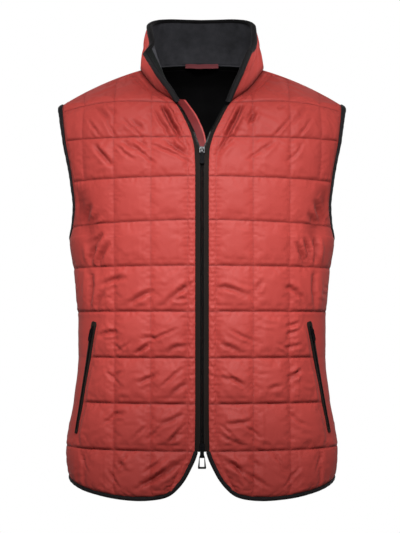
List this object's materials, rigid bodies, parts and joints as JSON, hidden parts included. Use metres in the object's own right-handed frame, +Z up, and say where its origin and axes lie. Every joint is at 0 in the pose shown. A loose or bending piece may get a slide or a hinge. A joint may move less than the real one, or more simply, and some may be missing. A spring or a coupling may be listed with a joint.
{
  "type": "quilted vest",
  "caption": "Padded, quilted sleeveless vest with a stand collar, a two-way front zip and zipped pockets, open and hollow as it stands when worn.",
  "frame": {"origin": "at the base of the neck, midway between the two side neck points, where a wearer's neck and shoulders hold the vest", "axes": "+Z up, -Y out of the vest's front, +X towards the wearer's left"},
  "size_m": [0.4532, 0.2537, 0.7545],
  "materials": {
    "red_shell": "soft sheen nylon, quilted",
    "red_flap": "soft sheen nylon, stitched along its edges",
    "black_binding": "matt woven binding",
    "black_lining": "matt lining",
    "charcoal_knit": "brushed knit",
    "loop_cloth": "matt narrow tape",
    "zip_tape": "matt zip tape with a coil",
    "dark_metal": "dark nickel"
  },
  "bodies": {
    "vest": {"armhole_binding_l": "black_binding", "armhole_binding_r": "black_binding", "back": "red_shell", "back_lining": "black_lining", "collar_binding": "black_binding", "collar_lining": "charcoal_knit", "collar_outer": "red_shell", "front_l": "red_shell", "front_r": "red_shell", "hanger_loop": "loop_cloth", "hem_binding": "black_binding", "pocket_slider_l": "dark_metal", "pocket_slider_r": "dark_metal", "pocket_zip_l": "zip_tape", "pocket_zip_r": "zip_tape", "wind_flap": "red_flap", "zip_slider_bottom": "dark_metal", "zip_slider_top": "dark_metal", "zip_tape_l": "zip_tape", "zip_tape_r": "zip_tape"},
    "pull_top": {"zip_pull_top": "dark_metal"},
    "pull_bottom": {"zip_pull_bottom": "dark_metal"},
    "pull_pocket_r": {"pocket_pull_r": "dark_metal"},
    "pull_pocket_l": {"pocket_pull_l": "dark_metal"}
  },
  "joints": [
    {"name": "top_pull_hinge", "type": "hinge", "parent": "vest", "child": "pull_top", "pos_m": [0, -0.1139, -0.13306], "axis": [-1, 0, 0], "range_deg": [0, 150]},
    {"name": "bottom_pull_hinge", "type": "hinge", "parent": "vest", "child": "pull_bottom", "pos_m": [0, -0.12071, -0.5772], "axis": [-1, 0, 0], "range_deg": [-7, 150]},
    {"name": "pocket_pull_r_hinge", "type": "hinge", "parent": "vest", "child": "pull_pocket_r", "pos_m": [-0.16853, -0.07387, -0.40499], "axis": [-0.6671, 0.7032, 0.2462], "range_deg": [0, 150]},
    {"name": "pocket_pull_l_hinge", "type": "hinge", "parent": "vest", "child": "pull_pocket_l", "pos_m": [0.16777, -0.07466, -0.40491], "axis": [-0.6687, -0.6919, -0.2722], "range_deg": [0, 150]}
  ]
}
